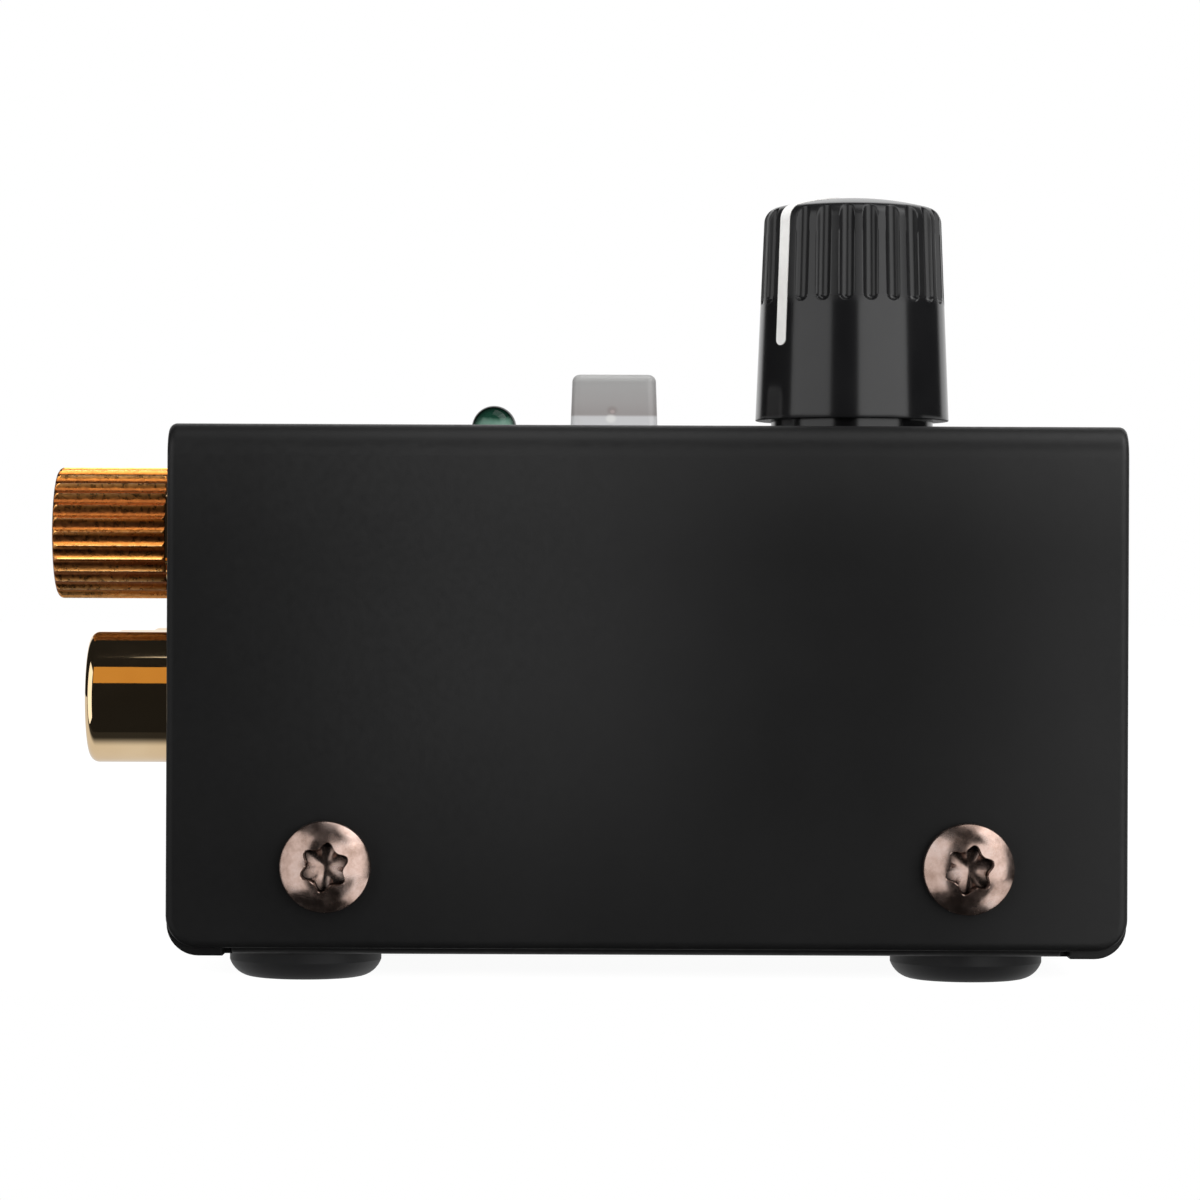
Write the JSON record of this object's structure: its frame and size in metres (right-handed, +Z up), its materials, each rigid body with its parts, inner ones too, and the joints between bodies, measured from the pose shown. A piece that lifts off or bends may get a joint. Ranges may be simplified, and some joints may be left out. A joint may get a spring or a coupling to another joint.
{
  "type": "phono preamp",
  "caption": "Small phono preamp in a folded steel case with a level knob, push button and power light on top, and phono, jack, power and ground connections at the rear.",
  "frame": {"origin": "centre of the whole object's footprint box, on the surface that its feet stand on", "axes": "+Z up, -Y to the front, +Y to the rear wall with the jacks, +X to the right seen from the front"},
  "size_m": [0.1254, 0.0686, 0.0511],
  "materials": {
    "case_paint": "satin black powder coat",
    "copper_nickel": "polished copper-nickel plating",
    "foot_rubber": "matt",
    "knob_plastic": "moulded, glossy skirt and satin grooves",
    "pointer_white": "white inlay",
    "bright_steel": "plated",
    "tinned_pins": "tinned",
    "raw_brass": "machined",
    "phenolic": "laminate with a printed track",
    "white_plastic": "moulded",
    "button_plastic": "milky, slightly see-through",
    "black_plastic": "moulded",
    "led_green": "clear green resin, unlit",
    "polished_gold": "polished gold plating",
    "knurled_gold": "fine-grained gold plating over the knurl",
    "insert_white": "moulded",
    "insert_red": "moulded",
    "nickel_plate": "nickel plated",
    "board_green": "glass-fibre laminate with solder mask",
    "wire_green": "insulated wire",
    "can_aluminium": "drawn cans",
    "film_blue": "moulded boxes",
    "chip_ceramic": "glazed chips"
  },
  "bodies": {
    "root": {"top_cover": "case_paint", "base_chassis": "case_paint", "cover_screws": "copper_nickel", "foot_front_left": "foot_rubber", "foot_front_right": "foot_rubber", "foot_rear_left": "foot_rubber", "foot_rear_right": "foot_rubber", "level_pot_housing": "bright_steel", "level_pot_bushing": "raw_brass", "level_pot_track": "phenolic", "level_pot_terminals": "tinned_pins", "power_switch_housing": "black_plastic", "power_switch_spring": "bright_steel", "power_switch_terminals": "tinned_pins", "power_led_lens": "led_green", "power_led_spacer": "black_plastic", "power_led_leads": "tinned_pins", "ground_stud": "polished_gold", "ground_hex_nut": "bright_steel", "ground_lug": "polished_gold", "ground_wire": "wire_green", "input_jack_block": "black_plastic", "input_left_shell": "polished_gold", "input_right_shell": "polished_gold", "input_left_insulator": "insert_white", "input_right_insulator": "insert_red", "input_center_contacts": "polished_gold", "output_jack_block": "black_plastic", "output_left_shell": "polished_gold", "output_right_shell": "polished_gold", "output_left_insulator": "insert_white", "output_right_insulator": "insert_red", "output_center_contacts": "polished_gold", "trs_jack_body": "black_plastic", "trs_jack_nose": "nickel_plate", "trs_jack_nut": "nickel_plate", "trs_jack_washer": "bright_steel", "trs_jack_contacts": "bright_steel", "dc_jack_body": "black_plastic", "dc_jack_center_pin": "bright_steel", "dc_jack_contact": "bright_steel", "main_board": "board_green", "board_standoffs": "raw_brass", "board_screws": "bright_steel", "op_amps": "black_plastic", "electrolytic_capacitors": "can_aluminium", "film_capacitors": "film_blue", "resistors": "chip_ceramic", "voltage_regulator": "black_plastic"},
    "level_control": {"level_knob": "knob_plastic", "level_knob_pointer": "pointer_white", "level_pot_shaft": "bright_steel", "level_pot_wiper": "white_plastic"},
    "power_button": {"power_button_cap": "button_plastic", "power_switch_plunger": "white_plastic"},
    "ground_washer": {"ground_clamp_washer": "polished_gold"},
    "ground_nut": {"ground_thumb_nut": "knurled_gold"}
  },
  "joints": [
    {"name": "level_knob_turn", "type": "hinge", "parent": "root", "child": "level_control", "pos_m": [-0.0405, -0.01813, 0.03625], "axis": [0, 0, 1], "range_deg": [-188.2, 111.8]},
    {"name": "power_button_press", "type": "slide", "parent": "root", "child": "power_button", "axis": [0, 0, -1], "range_m": [0, 0.0022], "stiffness_N_per_m": 500, "springref_m": -0.0015, "deforming": ["power_switch_spring"]},
    {"name": "ground_nut_travel", "type": "slide", "parent": "root", "child": "ground_washer", "axis": [0, 1, 0], "range_m": [0, 0.004]},
    {"name": "ground_nut_spin", "type": "hinge", "parent": "ground_washer", "child": "ground_nut", "pos_m": [-0.0445, 0.02567, 0.02853], "axis": [0, 1, 0], "range_deg": [0, 2058]}
  ],
  "couplings": [
    {"joint": "ground_nut_spin", "follows": "ground_nut_travel", "rad_per_m": 8976}
  ]
}
